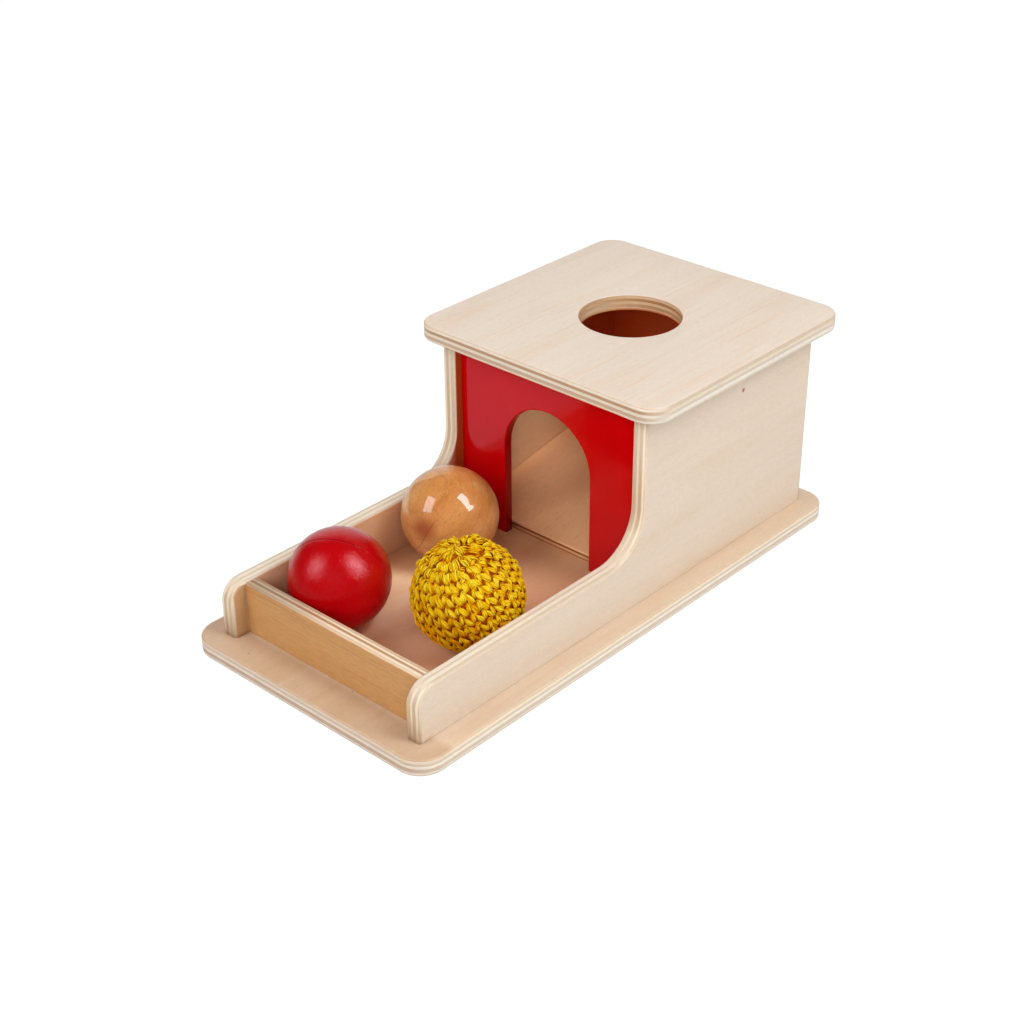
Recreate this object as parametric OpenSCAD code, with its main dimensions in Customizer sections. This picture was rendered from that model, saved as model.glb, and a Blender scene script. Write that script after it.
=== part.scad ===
// Object permanence box: a ball dropped through the round hole in the roof rolls down a
// hidden ramp, comes out of the red arch and stops in the open tray. Birch plywood boards
// are glued and dowelled, and three balls of different feel lie in the tray.
// X is the width, Y runs from the tray front (-Y) to the back of the box, Z is up.
// The origin is the centre of the base board's underside.

/* [Tray and box] */
// Width inside the tray and the box, between the side panels
inside_w = 111; // [96:1:150]
// Length of the side panels beside the tray
tray_l = 147.5; // [124:0.5:200]
// Length of the side panels under the roof
box_l = 130.5; // [108:0.5:170]
// Height of the side panels beside the tray
tray_side_h = 27; // [22:1:36]
// Height of the side panels under the roof
box_h = 98; // [90:1:120]

/* [Base board] */
// Thickness of the base board
base_t = 8.5; // [8:0.5:12]
// Radius of the base board's four corners
base_corner_r = 13; // [6:1:16]

/* [Side panels] */
// Thickness of each side panel
panel_t = 8; // [7:0.5:10]
// Base board left showing beside each side panel
panel_margin_side = 11.5; // [6:0.5:14]
// Base board left showing in front of and behind the side panels
panel_margin_end = 11; // [6:0.5:16]
// Radius of the hollow curve between the tray side and the tall part
throat_r = 23; // [12:1:30]
// Radius of the round nose at the tray end of each side panel
nose_r = 10; // [4:1:14]

/* [Roof board] */
// Thickness of the roof board
roof_t = 8.2; // [7:0.2:12]
// Overhang of the roof past the side panels
roof_overhang_side = 11; // [5:0.5:14]
// Overhang of the roof past the tall front edges
roof_overhang_front = 8.5; // [4:0.5:14]
// Overhang of the roof past the back
roof_overhang_back = 10; // [4:0.5:12]
// Radius of the roof board's four corners
roof_corner_r = 12; // [5:1:16]
// Diameter of the round hole that the balls drop through
ball_hole_d = 50.5; // [49:0.5:60]

/* [Front wall] */
// Thickness of the red front wall
front_wall_t = 5; // [4:0.5:7]
// How far the red wall stands back from the tall front edges
front_wall_setback = 4.5; // [2:0.5:9]
// Depth of the groove in each side panel that holds the red wall
groove_depth = 2.5; // [1.5:0.5:3.5]
// Width of the arched doorway
arch_w = 54; // [50:1:64]
// Height of the arched doorway above the base board
arch_h = 76.5; // [66:0.5:84]

/* [Back wall and rail] */
// Thickness of the back wall
back_wall_t = 8; // [7:0.5:10]
// Thickness of the rail across the tray's front
rail_t = 7.6; // [6.6:0.2:10]
// Height of the rail
rail_h = 26; // [22:1:32]
// How far the rail stands back from the side panels' noses
rail_setback = 8.2; // [4:0.2:14]

/* [Ramp] */
// Thickness of the ramp board
ramp_t = 5; // [3.5:0.5:6]
// Slope of the ramp in degrees
ramp_slope = 10.5; // [7:0.5:14]
// Depth, front to back, of the bearer strip under the ramp's high end
bearer_d = 10; // [6:1:16]
// Share of the box's inside width that the bearer strip spans
bearer_span_share = 0.8; // [0.5:0.05:0.95]

/* [Balls] */
// Diameter of the varnished wooden ball
wooden_ball_d = 48; // [45:0.5:49]
// Diameter of the red hollow ball
red_ball_d = 48; // [45:0.5:49]
// Wall of the red hollow ball
red_ball_wall = 2.5; // [1.5:0.5:4]
// Diameter over the crocheted ball's stitches
crochet_ball_d = 52; // [46:0.5:54]
// Thickness of the crocheted cover
crochet_cover_t = 3.5; // [2.5:0.5:5]

/* [Dowels] */
// Diameter of the beech dowels
dowel_d = 4; // [3:0.5:5]
// Depth that a dowel goes into a board's face
dowel_sink = 5; // [4:0.5:6]
// Depth that a dowel goes into a board's edge
dowel_rise = 9; // [7:0.5:12]

/* [Finish] */
// Width of the bevel that eases every open edge
edge_ease = 0.8; // [0.4:0.1:1.2]

/* [Hidden] */
$fn = 96;

// Length that cuts run past the faces they open
overrun = 1;
// Glue room round a dowel, and past each of its ends
dowel_fit = 0.05;
dowel_end_gap = 0.5;
// Glue room beside and past the end of the red wall in its grooves
groove_fit = 0.1;
groove_end_gap = 0.2;
// Gap between the ramp and the boards round it
ramp_gap = 0.3;
// Gap under and beside a ball that lies against a board
ball_gap = 0.3;
// Glue room between the crocheted cover and its filling
cover_fit = 0.2;

// Where each ball lies: the gap between it and the nearest boards of the tray
red_ball_from_panel = 2.7;
red_ball_from_rail = 1.9;
wooden_ball_from_wall = 11.2;
crochet_ball_from_panel = 2.8;
// Where the crocheted ball lies between the red and the wooden ball, front to back
crochet_ball_y_share = 0.3595;
// The red ball's moulding line: a fine groove, and how its circle leans
seam_w = 0.5;
seam_depth = 0.3;
seam_turn = 29;
seam_lean = 78;
// How the crocheted ball's axis leans, and its darning hollow at the top
crochet_turn = 38;
crochet_lean = 15;
crochet_dimple_r = 3.2;
crochet_dimple_depth = 1.2;

// Distances of dowels from the ends of what they join
dowel_inset = 16;
span_dowel_share = 0.27;
low_dowel_share = 0.3;
high_dowel_share = 0.8;

// Levels and faces that boards share
floor_z = base_t;
roof_z = floor_z + box_h;
panel_l = tray_l + box_l;
panel_front_y = -panel_l / 2;
panel_back_y = panel_l / 2;
tall_front_y = panel_front_y + tray_l;
panel_in_x = inside_w / 2;
panel_out_x = panel_in_x + panel_t;
base_w = 2 * (panel_out_x + panel_margin_side);
base_l = panel_l + 2 * panel_margin_end;
front_wall_y = tall_front_y + front_wall_setback;
front_wall_back_y = front_wall_y + front_wall_t;
back_wall_y = panel_back_y - back_wall_t;
rail_y = panel_front_y + rail_setback;
rail_back_y = rail_y + rail_t;
roof_w = 2 * (panel_out_x + roof_overhang_side);
roof_l = box_l + roof_overhang_front + roof_overhang_back;
roof_centre_y = tall_front_y - roof_overhang_front + roof_l / 2;
arch_r = arch_w / 2;

// The ramp's lower edge rests on the base board behind the red wall
ramp_foot_y = front_wall_back_y + ramp_gap + ramp_t * sin(ramp_slope);
ramp_back_y = back_wall_y - ramp_gap;
ramp_l = (ramp_back_y - ramp_foot_y) / cos(ramp_slope);
ramp_w = inside_w - 2 * ramp_gap;
function ramp_under_z(y) = floor_z + (y - ramp_foot_y) * tan(ramp_slope);

// Where dowels stand, as places on the base board or the roof board
panel_mid_x = (panel_out_x + panel_in_x) / 2;
panel_dowel_ys = [
    rail_back_y + dowel_inset,
    (rail_back_y + front_wall_y) / 2,
    front_wall_back_y + dowel_inset,
    back_wall_y - dowel_inset
];
panel_base_spots = [for (x = [-panel_mid_x, panel_mid_x], y = panel_dowel_ys) [x, y]];
back_wall_spots = [
    for (side = [-1, 1]) [side * inside_w * span_dowel_share, back_wall_y + back_wall_t / 2]
];
rail_base_spots = [
    for (side = [-1, 1]) [side * inside_w * span_dowel_share, rail_y + rail_t / 2]
];
panel_roof_spots = [
    for (x = [-panel_mid_x, panel_mid_x], y = [front_wall_back_y + dowel_inset, back_wall_y - dowel_inset])
        [x, y]
];
back_wall_dowel_zs = [for (share = [low_dowel_share, high_dowel_share]) floor_z + box_h * share];
rail_dowel_zs = [for (share = [low_dowel_share, 1 - low_dowel_share]) floor_z + rail_h * share];

// Ball centres
wooden_ball_at = [
    -panel_in_x + ball_gap + wooden_ball_d / 2,
    front_wall_y - wooden_ball_from_wall - wooden_ball_d / 2,
    floor_z + ball_gap + wooden_ball_d / 2
];
red_ball_at = [
    -panel_in_x + red_ball_from_panel + red_ball_d / 2,
    rail_back_y + red_ball_from_rail + red_ball_d / 2,
    floor_z + ball_gap + red_ball_d / 2
];
// In a narrow tray the crocheted ball is pushed back by the red ball that it lies against
crochet_ball_x = panel_in_x - crochet_ball_from_panel - crochet_ball_d / 2;
touching_reach = (crochet_ball_d + red_ball_d) / 2 + ball_gap;
touching_y = sqrt(max(0, touching_reach ^ 2 - (crochet_ball_x - red_ball_at[0]) ^ 2));
crochet_ball_at = [
    crochet_ball_x,
    red_ball_at[1] + max(touching_y, (wooden_ball_at[1] - red_ball_at[1]) * crochet_ball_y_share),
    floor_z + ball_gap + crochet_ball_d / 2
];

ply_colour = "#E7D9C8";
beech_colour = "#D9A76E";
red_paint_colour = "#B60608";
dowel_colour = "#DDB98A";
wooden_ball_colour = "#C98F58";
red_ball_colour = "#B4101C";
yarn_colour = "#E3B91A";
filling_colour = "#F3EFE6";

// Half section of a board's edge, eased above and below, from an inner line out to the edge
module eased_edge_profile(reach, t) {
    polygon([
        [0, 0], [reach - edge_ease, 0], [reach, edge_ease],
        [reach, t - edge_ease], [reach - edge_ease, t], [0, t]
    ]);
}

// Board lying flat, centred, with round corners and eased edges all round
module eased_board(w, l, t, corner_r) {
    translate([-w / 2 + corner_r, -l / 2 + corner_r, 0])
        cube([w - 2 * corner_r, l - 2 * corner_r, t]);
    for (side = [0, 1]) {
        rotate([0, 0, 180 * side])
            translate([w / 2 - corner_r, 0, 0])
                rotate([90, 0, 0])
                    linear_extrude(l - 2 * corner_r, center = true)
                        eased_edge_profile(corner_r, t);
        rotate([0, 0, 180 * side + 90])
            translate([l / 2 - corner_r, 0, 0])
                rotate([90, 0, 0])
                    linear_extrude(w - 2 * corner_r, center = true)
                        eased_edge_profile(corner_r, t);
        for (end = [0, 1])
            mirror([side, 0, 0])
                mirror([0, end, 0])
                    translate([w / 2 - corner_r, l / 2 - corner_r, 0])
                        rotate_extrude(angle = 90)
                            eased_edge_profile(corner_r, t);
    }
}

// Round dowel standing on its face end, sunk into the board below, with eased tips
module dowel() {
    translate([0, 0, -dowel_sink])
        rotate_extrude()
            polygon([
                [0, 0], [dowel_d / 2 - edge_ease / 2, 0], [dowel_d / 2, edge_ease / 2],
                [dowel_d / 2, dowel_sink + dowel_rise - edge_ease / 2],
                [dowel_d / 2 - edge_ease / 2, dowel_sink + dowel_rise],
                [0, dowel_sink + dowel_rise]
            ]);
}

// Hole for that dowel in the face below and the edge above
module dowel_hole() {
    translate([0, 0, -dowel_sink - dowel_end_gap])
        cylinder(d = dowel_d + 2 * dowel_fit, h = dowel_sink + dowel_rise + 2 * dowel_end_gap);
}

// Dowels or holes that stand on the base board, or hang head down from the roof board
module at_base(spots) {
    for (spot = spots)
        translate([spot[0], spot[1], floor_z])
            children();
}

module at_roof(spots) {
    for (spot = spots)
        translate([spot[0], spot[1], roof_z])
            mirror([0, 0, 1])
                children();
}

// Dowels or holes that lie across the inner face of the left (-1) or right (1) side panel
module at_panel_face(side, y, zs) {
    for (z = zs)
        translate([side * panel_in_x, y, z])
            rotate([0, -90 * side, 0])
                children();
}

// Triangle that takes the sharp edge off a board's outline; side 1 is a convex edge, -1 a hollow one
module ease_section(r, side) {
    polygon([
        [r - side * (edge_ease + overrun), overrun],
        [r + side * overrun, -edge_ease - overrun],
        [r + side * overrun, overrun]
    ]);
}

// The same triangle run along a straight edge from the origin towards +X, outline up
module ease_straight(run) {
    rotate([90, 0, 90])
        linear_extrude(run)
            ease_section(0, 1);
}

// Outline of a side panel, from its front bottom corner: low tray side, throat, tall part
module panel_outline() {
    throat_y = tray_l - throat_r;
    difference() {
        union() {
            square([panel_l, tray_side_h]);
            translate([throat_y, 0])
                square([panel_l - throat_y, box_h]);
        }
        translate([throat_y, tray_side_h + throat_r])
            circle(throat_r);
        translate([throat_y - overrun, tray_side_h + throat_r])
            square([throat_r + overrun, box_h]);
        difference() {
            translate([-overrun, tray_side_h - nose_r])
                square([nose_r + overrun, nose_r + overrun]);
            translate([nose_r, tray_side_h - nose_r])
                circle(nose_r);
        }
    }
}

// Cuts that ease one face of a side panel: nose end, tray side, throat, tall front and back edges
module panel_easing() {
    throat_y = tray_l - throat_r;
    rotate([0, 0, 90])
        ease_straight(tray_side_h - nose_r);
    translate([nose_r, tray_side_h - nose_r, 0])
        rotate([0, 0, 90])
            rotate_extrude(angle = 90)
                ease_section(nose_r, 1);
    translate([nose_r, tray_side_h, 0])
        ease_straight(throat_y - nose_r);
    translate([throat_y, tray_side_h + throat_r, 0])
        rotate([0, 0, -90])
            rotate_extrude(angle = 90)
                ease_section(throat_r, -1);
    translate([tray_l, tray_side_h + throat_r, 0])
        rotate([0, 0, 90])
            ease_straight(box_h - tray_side_h - throat_r + overrun);
    translate([panel_l, box_h + overrun, 0])
        rotate([0, 0, -90])
            ease_straight(box_h + 2 * overrun);
}

// Right side panel where it stands: eased outline, groove for the red wall, dowel holes
module side_panel_shape() {
    difference() {
        translate([panel_in_x, panel_front_y, floor_z])
            rotate([90, 0, 90])
                difference() {
                    linear_extrude(panel_t)
                        panel_outline();
                    translate([0, 0, panel_t])
                        panel_easing();
                    mirror([0, 0, 1])
                        panel_easing();
                }
        translate([panel_in_x - overrun, front_wall_y - groove_fit, floor_z - overrun])
            cube([groove_depth + overrun, front_wall_t + 2 * groove_fit, box_h + 2 * overrun]);
        at_base(panel_base_spots)
            dowel_hole();
        at_roof(panel_roof_spots)
            dowel_hole();
        at_panel_face(1, back_wall_y + back_wall_t / 2, back_wall_dowel_zs)
            dowel_hole();
        at_panel_face(1, rail_y + rail_t / 2, rail_dowel_zs)
            dowel_hole();
    }
}

module base_board() {
    color(ply_colour)
        difference() {
            eased_board(base_w, base_l, base_t, base_corner_r);
            at_base(concat(panel_base_spots, back_wall_spots, rail_base_spots))
                dowel_hole();
        }
}

module side_panel_right() {
    color(ply_colour)
        side_panel_shape();
}

module side_panel_left() {
    color(ply_colour)
        mirror([1, 0, 0])
            side_panel_shape();
}

module roof_board() {
    color(ply_colour)
        difference() {
            translate([0, roof_centre_y, roof_z])
                eased_board(roof_w, roof_l, roof_t, roof_corner_r);
            translate([0, roof_centre_y, roof_z])
                ball_hole();
            at_roof(concat(panel_roof_spots, back_wall_spots))
                dowel_hole();
        }
}

// Round hole through the roof with both rims eased
module ball_hole() {
    hole_r = ball_hole_d / 2;
    flare = edge_ease + overrun;
    rotate_extrude()
        polygon([
            [0, -overrun], [hole_r + flare, -overrun], [hole_r, edge_ease],
            [hole_r, roof_t - edge_ease], [hole_r + flare, roof_t + overrun], [0, roof_t + overrun]
        ]);
}

// Thin board with the arched doorway, its tongues glued into the side panels' grooves
module front_wall() {
    half_w = panel_in_x + groove_depth - groove_end_gap;
    color(red_paint_colour)
        translate([0, front_wall_back_y, floor_z])
            rotate([90, 0, 0])
                difference() {
                    linear_extrude(front_wall_t)
                        difference() {
                            translate([-half_w, 0])
                                square([2 * half_w, box_h]);
                            translate([-arch_r, -overrun])
                                square([arch_w, arch_h - arch_r + overrun]);
                            translate([0, arch_h - arch_r])
                                circle(arch_r);
                        }
                    translate([0, 0, front_wall_t])
                        arch_easing();
                    mirror([0, 0, 1])
                        arch_easing();
                }
}

// Cuts that ease one face of the doorway: its two jambs and the half round over them
module arch_easing() {
    jamb_h = arch_h - arch_r;
    translate([arch_r, -overrun, 0])
        rotate([0, 0, 90])
            ease_straight(jamb_h + overrun);
    translate([-arch_r, jamb_h, 0])
        rotate([0, 0, -90])
            ease_straight(jamb_h + overrun);
    translate([0, jamb_h, 0])
        rotate_extrude(angle = 180)
            ease_section(arch_r, -1);
}

module back_wall() {
    color(ply_colour)
        difference() {
            translate([-panel_in_x, back_wall_y, floor_z])
                cube([inside_w, back_wall_t, box_h]);
            at_base(back_wall_spots)
                dowel_hole();
            at_roof(back_wall_spots)
                dowel_hole();
            for (side = [-1, 1])
                at_panel_face(side, back_wall_y + back_wall_t / 2, back_wall_dowel_zs)
                    dowel_hole();
        }
}

// Plywood rail with its two top edges eased
module tray_rail() {
    color(ply_colour)
        difference() {
            translate([-panel_in_x, rail_y, floor_z])
                rotate([90, 0, 90])
                    linear_extrude(inside_w)
                        polygon([
                            [0, 0], [rail_t, 0], [rail_t, rail_h - edge_ease],
                            [rail_t - edge_ease, rail_h], [edge_ease, rail_h], [0, rail_h - edge_ease]
                        ]);
            at_base(rail_base_spots)
                dowel_hole();
            for (side = [-1, 1])
                at_panel_face(side, rail_y + rail_t / 2, rail_dowel_zs)
                    dowel_hole();
        }
}

// Sloping floor of the box: its low edge rests on the base, its high edge on the bearer
module ramp_board() {
    color(ply_colour)
        translate([-ramp_w / 2, ramp_foot_y, floor_z])
            rotate([ramp_slope, 0, 0])
                cube([ramp_w, ramp_l, ramp_t]);
}

// Strip glued to the back wall, its top cut to the ramp's slope
module ramp_bearer() {
    bearer_l = inside_w * bearer_span_share;
    bearer_y = back_wall_y - bearer_d;
    color(beech_colour)
        translate([-bearer_l / 2, 0, 0])
            rotate([90, 0, 90])
                linear_extrude(bearer_l)
                    polygon([
                        [bearer_y, floor_z], [back_wall_y, floor_z],
                        [back_wall_y, ramp_under_z(back_wall_y)], [bearer_y, ramp_under_z(bearer_y)]
                    ]);
}

module base_dowels() {
    color(dowel_colour)
        at_base(concat(panel_base_spots, back_wall_spots, rail_base_spots))
            dowel();
}

module roof_dowels() {
    color(dowel_colour)
        at_roof(concat(panel_roof_spots, back_wall_spots))
            dowel();
}

module back_wall_dowels() {
    color(dowel_colour)
        for (side = [-1, 1])
            at_panel_face(side, back_wall_y + back_wall_t / 2, back_wall_dowel_zs)
                dowel();
}

module rail_dowels() {
    color(dowel_colour)
        for (side = [-1, 1])
            at_panel_face(side, rail_y + rail_t / 2, rail_dowel_zs)
                dowel();
}

module wooden_ball() {
    color(wooden_ball_colour)
        translate(wooden_ball_at)
            sphere(d = wooden_ball_d);
}

// Hollow moulded ball, with the fine groove where its two halves meet
module red_ball() {
    color(red_ball_colour)
        translate(red_ball_at)
            difference() {
                sphere(d = red_ball_d);
                sphere(d = red_ball_d - 2 * red_ball_wall);
                rotate([-seam_lean, 0, seam_turn])
                    rotate_extrude()
                        translate([red_ball_d / 2 - seam_depth, -seam_w / 2])
                            square([seam_depth + overrun, seam_w]);
            }
}

// Crocheted cover as its outer shape, with the small hollow where the last round was drawn in
module crochet_cover() {
    color(yarn_colour)
        translate(crochet_ball_at)
            difference() {
                sphere(d = crochet_ball_d);
                sphere(d = crochet_ball_d - 2 * crochet_cover_t);
                rotate([0, -crochet_lean, crochet_turn])
                    translate([0, 0, crochet_ball_d / 2])
                        drawn_in_hollow();
            }
}

module drawn_in_hollow() {
    rotate_extrude()
        polygon([
            [0, -crochet_dimple_depth], [crochet_dimple_r, overrun], [0, overrun]
        ]);
}

module crochet_filling() {
    color(filling_colour)
        translate(crochet_ball_at)
            sphere(d = crochet_ball_d - 2 * crochet_cover_t - 2 * cover_fit);
}

base_board();
side_panel_left();
side_panel_right();
roof_board();
front_wall();
back_wall();
tray_rail();
ramp_board();
ramp_bearer();
base_dowels();
roof_dowels();
back_wall_dowels();
rail_dowels();
wooden_ball();
red_ball();
crochet_cover();
crochet_filling();
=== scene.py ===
"""Looks of an object permanence box: birch plywood tray and box, red arched wall and three balls.

The script follows the box as it is put together: base board, side panels, walls, ramp, roof,
then the three balls, and last the plain studio and the camera.
"""

import functools
import math

import bpy
import numpy as np
from mathutils import Matrix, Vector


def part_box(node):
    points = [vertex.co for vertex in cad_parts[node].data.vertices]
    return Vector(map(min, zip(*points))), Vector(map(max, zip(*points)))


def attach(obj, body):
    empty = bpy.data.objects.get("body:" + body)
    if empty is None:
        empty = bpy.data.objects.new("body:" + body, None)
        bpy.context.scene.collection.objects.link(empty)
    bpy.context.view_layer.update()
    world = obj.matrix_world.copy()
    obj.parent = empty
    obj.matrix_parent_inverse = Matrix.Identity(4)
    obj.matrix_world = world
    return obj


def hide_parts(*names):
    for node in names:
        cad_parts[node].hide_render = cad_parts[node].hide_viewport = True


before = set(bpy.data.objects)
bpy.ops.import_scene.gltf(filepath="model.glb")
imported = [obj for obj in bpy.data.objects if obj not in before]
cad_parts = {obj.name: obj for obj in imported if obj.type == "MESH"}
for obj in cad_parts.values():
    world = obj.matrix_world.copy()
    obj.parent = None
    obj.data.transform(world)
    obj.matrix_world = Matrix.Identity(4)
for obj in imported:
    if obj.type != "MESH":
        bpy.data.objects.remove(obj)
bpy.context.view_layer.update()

MM = 0.001
X, Y, Z = np.eye(3)


# Base board. It carries everything: one piece of sanded birch plywood with round corners.
# Its edges are broken with sandpaper, so every arris is a small quarter round that shows
# the thin face veneer and the plies under it.
BASE_CORNER_R = 13 * MM
OPEN_ARRIS_R = 1.3 * MM
GLUED_ARRIS_R = 0.3 * MM
ARRIS_STEPS = 5
CORNER_STEPS = 20
FACE_VENEER_T = 0.3 * MM
PLY_WANDER = 0.12 * MM
PLY_WANDER_RUN = 22 * MM

# Painted shade and painted light on the birch: low and high corner of each place and width of
# its soft border in mm, and the tone that the wood is multiplied with there. The inside of the
# tray and the box, darker and warmer as painted shade:
INSIDE_PAINTED_SHADE = ((-55.7, -123.4, 8.4), (55.7, 131.2, 107.6), 0.1, "#FFDEC2")
# Only in there, deeper painted shade: at the back of the closed box, and beside the red wall,
# with painted red light thrown back by the wall
DEEP_PAINTED_SHADE = [
    ((-150, 98, 30), (150, 300, 200), 26, "#E87C42"),
    ((-150, 6, 20), (150, 15.5, 200), 4, "#CE7440"),
]
# Also only in there, painted light that makes the wood paler, as factors for R, G, B: the middle
# of the tray, the floor beside the red ball, and the left panel beside the ramp
PAINTED_LIGHT_PATCHES = [
    ((-34, -112, 7), (48, -6, 10), 28, (1.27, 1.27, 1.4, 1.0)),
    ((-46, -94, -30), (-10, -44, 40), 18, (1.3, 1.6, 1.85, 1.0)),
    ((-60, 18, 12), (-50, 96, 110), 6, (1.18, 1.2, 1.12, 1.0)),
]
# Outside: the strip of the base in front of the rail, painted shade; the bore of the roof, a little
# darker and warmer; and the ends of the panels' inner faces in front of the rail, painted shade
OUTSIDE = [
    ((-90, -160, 8), (90, -131.5, 9), 4, "#DECDBC"),
    ((-25.9, 48.6, 106), (25.9, 100.4, 114.3), 0.5, "#F8E0C4"),
    ((-56.2, -137.8, 8), (-54.8, -130.8, 34.2), 0.6, "#D9BA96"),
    ((54.8, -137.8, 8), (56.2, -130.8, 34.2), 0.6, "#D9BA96"),
]

# Plies from the lower or inner face to the upper or outer one: thickness in mm, colour where
# the edge cuts across the sheet's length (end grain of the long plies), colour where it runs along.
BASE_PLIES = [
    (0.35, "#E5CEB8", "#E4CBAF"),
    (1.0, "#DEC7B0", "#DEC7AF"),
    (0.75, "#EBDAC8", "#F0E3D0"),
    (2.0, "#C9A98F", "#DEC6AE"),
    (1.3, "#ECDDCD", "#F5ECDC"),
    (1.3, "#D7BCA2", "#E0C7AC"),
    (1.2, "#EBD9C5", "#F0DFC6"),
    (0.6, "#D2B08D", "#DCBA95"),
]

# Small dark specks in the veneer: place, radius and colour
BASE_SPECKS = [
    ((-42 * MM, -142.6 * MM, 8.5 * MM), 0.5 * MM, "#7A4A2C"),
    ((14.5 * MM, -131.6 * MM, 8.5 * MM), 0.45 * MM, "#7A4A2C"),
    ((17.6 * MM, -142.2 * MM, 8.5 * MM), 0.35 * MM, "#9A6A48"),
]


def linear(hex_colour):
    """Scene-linear RGBA of an sRGB hex colour."""
    channels = [int(hex_colour[i : i + 2], 16) / 255 for i in (1, 3, 5)]
    return (*[c / 12.92 if c <= 0.04045 else ((c + 0.055) / 1.055) ** 2.4 for c in channels], 1.0)


def add_node(tree, kind, inputs=None, stops=None, **settings):
    """Adds one shader node. Settings are its own properties. Inputs are its sockets by name or number,
    each a value, an sRGB hex colour, a node's output, or a node, which stands for its first output.
    Stops are a colour ramp's (position, sRGB hex colour) pairs."""
    made = tree.nodes.new("ShaderNode" + kind)
    for name, value in settings.items():
        setattr(made, name, value)
    if stops:
        elements = made.color_ramp.elements
        elements.remove(elements[1])
        elements[0].position, elements[0].color = stops[0][0], linear(stops[0][1])
        for position, colour in stops[1:]:
            elements.new(position).color = linear(colour)
    for key, value in (inputs or {}).items():
        if isinstance(value, str):
            value = linear(value)
        elif isinstance(value, bpy.types.Node):
            value = value.outputs[0]
        if isinstance(value, bpy.types.NodeSocket):
            tree.links.new(value, made.inputs[key])
        else:
            made.inputs[key].default_value = value
    return made


def new_material(name):
    """An empty node material, and the function that adds a node to it."""
    material = bpy.data.materials.new(name)
    material.use_nodes = True
    material.node_tree.nodes.clear()
    return material, functools.partial(add_node, material.node_tree)


def new_piece(name, points, quads, caps=(), smooth_caps=False):
    """A mesh object at the origin from arrays: smooth quads, then flat or smooth caps of any length."""
    mesh = bpy.data.meshes.new(name)
    mesh.from_pydata(points.reshape(-1, 3), [], [*quads.reshape(-1, 4).tolist(), *caps])
    smooth = np.ones(len(mesh.polygons), bool)
    smooth[len(smooth) - len(caps) :] = smooth_caps
    mesh.polygons.foreach_set("use_smooth", smooth)
    mesh.update()
    piece = bpy.data.objects.new(name, mesh)
    bpy.context.scene.collection.objects.link(piece)
    return piece


def grid_quads(rows, columns, wrap_rows=False):
    """Corner numbers of the quads of a rows by columns grid of points. Every row is closed round."""
    row = np.arange(rows if wrap_rows else rows - 1)[:, None]
    column = np.arange(columns)[None, :]
    next_row, next_column = (row + 1) % rows, (column + 1) % columns
    around = ((row, column), (row, next_column), (next_row, next_column), (next_row, column))
    return np.stack([r * columns + c for r, c in around], -1)


def arc(centre, r, start, end, steps=CORNER_STEPS):
    """Points of a round stretch of an outline, from the start to the end angle in degrees."""
    a = np.radians(np.linspace(start, end, steps + 1))
    return np.asarray(centre) + r * np.stack([np.cos(a), np.sin(a)], -1)


def outward_moves(outline, steps):
    """For each outline point, the move that takes the side after it outwards by that side's own
    step and the side before it by its own: (n + m)(s + t) / 2(1 + nm) + (n - m)(s - t) / 2(1 - nm)."""
    ahead = np.roll(outline, -1, 0) - outline
    ahead /= np.linalg.norm(ahead, axis=1, keepdims=True)
    after = np.stack([ahead[:, 1], -ahead[:, 0]], -1)
    before = np.roll(after, 1, 0)
    step_after = np.broadcast_to(steps, len(outline))[:, None]
    step_before = np.roll(step_after, 1, 0)
    turn = (after * before).sum(1, keepdims=True)
    shared = (after + before) * (step_after + step_before) / (2 * (1 + turn))
    return shared + (after - before) * (step_after - step_before) / (2 * np.maximum(1 - turn, 1e-6))


def edge_profile(thickness, r):
    """A board's edge from face to face, one column per outline point: a quarter round, the straight
    edge and a quarter round. Its depth is the share 1 - sin a of the radius, at height r (1 - cos a)."""
    a = np.linspace(0, math.pi / 2, ARRIS_STEPS + 1)[:, None]
    share, height = 1 - np.sin(a), r * (1 - np.cos(a))
    return np.concatenate([share, share[::-1]]), np.concatenate([height, (thickness - height)[::-1]])


def board(name, outline, arris_r, thickness, origin, across, up):
    """A closed board: the edge profile carried along the outline, and a flat face over each end.
    arris_r is the radius of each side's arrises, the first being that of the side after point 0."""
    steps = outward_moves(outline, arris_r)
    sides = np.broadcast_to(arris_r, len(outline))
    share, height = edge_profile(thickness, np.maximum(sides, np.roll(sides, 1)))
    flat = outline[None] - share[..., None] * steps[None]
    rings = origin + flat[..., :1] * across + flat[..., 1:] * up + height[..., None] * np.cross(across, up)
    count = len(outline)
    last = (len(rings) - 1) * count
    caps = [tuple(range(count - 1, -1, -1)), tuple(range(last, last + count))]
    return new_piece(name, rings, grid_quads(len(rings), count), caps)


def ply_stops(plies, side):
    """Colour ramp stops for the plies met across a board, as shares of its thickness."""
    total = sum(ply[0] for ply in plies)
    starts = np.cumsum([0] + [ply[0] for ply in plies[:-1]]) / total
    return [(float(start), ply[side]) for start, ply in zip(starts, plies)]


def share_inside(add, place, low_corner, high_corner, border):
    """How far a point lies inside a box given in mm: the product of one ramp for each axis, which
    goes from 0 to 1 over the soft border."""
    inside = None
    for axis, (low, high) in enumerate(zip(low_corner, high_corner)):
        off = add("Math", {0: place.outputs[axis], 1: (low + high) / 2 * MM}, operation="SUBTRACT")
        off = add("Math", {0: off}, operation="ABSOLUTE")
        reach = (high - low) / 2
        ramp = add("MapRange", {"Value": off, "From Min": (reach + border / 2) * MM,
                                "From Max": (reach - border / 2) * MM})
        inside = add("Math", {0: inside, 1: ramp}, operation="MULTIPLY") if axis else ramp
    return inside


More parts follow.
